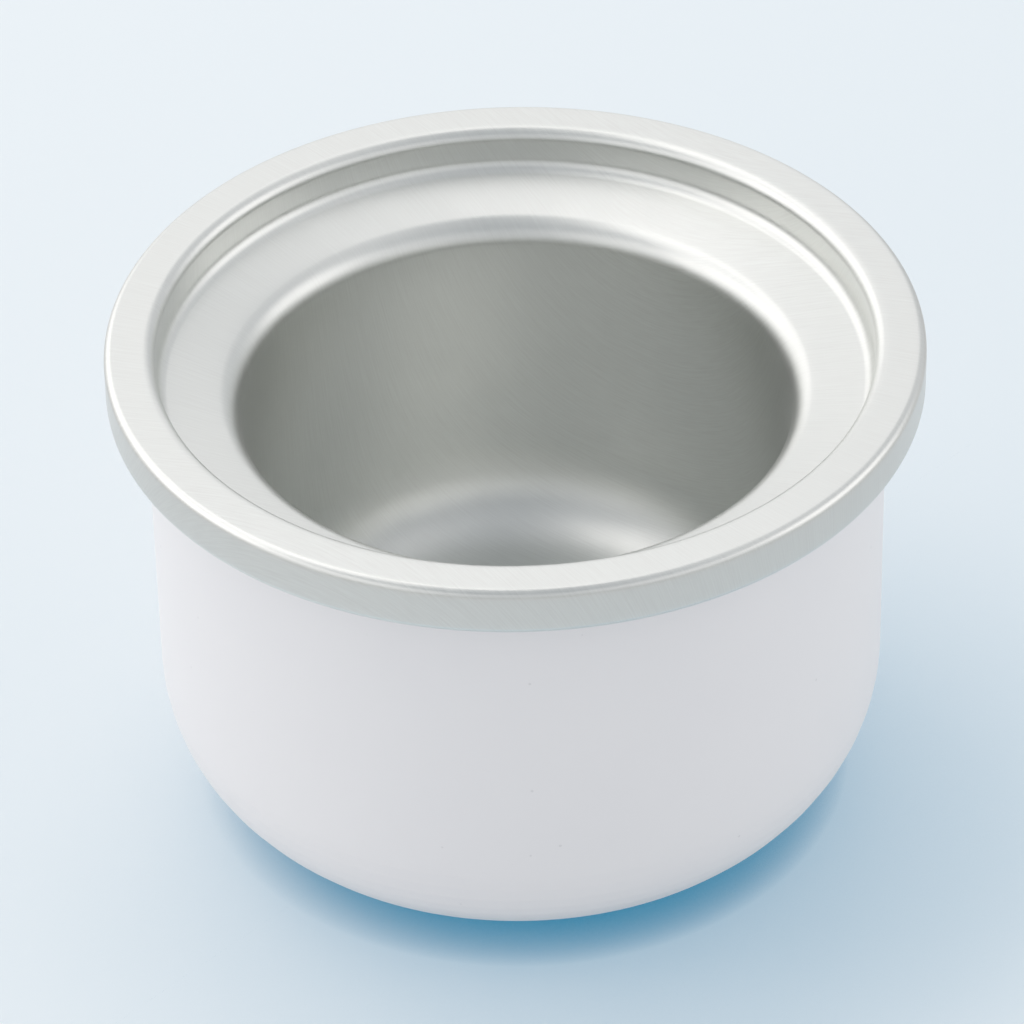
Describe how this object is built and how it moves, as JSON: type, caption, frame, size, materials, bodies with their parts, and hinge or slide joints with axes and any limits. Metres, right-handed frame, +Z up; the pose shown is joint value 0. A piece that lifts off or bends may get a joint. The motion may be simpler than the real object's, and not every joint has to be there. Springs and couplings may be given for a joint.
{
  "type": "ice cream maker freezer bowl",
  "caption": "Double-walled freezer bowl of an ice cream maker: satin aluminium pot with a stepped rim, hemmed over a white coated shell that holds the sealed coolant.",
  "frame": {"origin": "centre of the plane that the bowl stands on", "axes": "+Z up along the bowl's axis, which everything is turned about"},
  "size_m": [0.16, 0.16, 0.1047],
  "materials": {
    "satin_aluminium": "satin",
    "white_coating": "satin",
    "seal_rubber": "matte",
    "coolant": "gloss",
    "rivet_aluminium": "satin",
    "mandrel_steel": "satin"
  },
  "bodies": {
    "root": {"inner_pot": "satin_aluminium", "outer_shell": "white_coating", "rim_seal": "seal_rubber", "coolant_charge": "coolant", "fill_rivet_body": "rivet_aluminium", "fill_rivet_mandrel": "mandrel_steel", "fill_rivet_washer": "seal_rubber"}
  },
  "joints": []
}
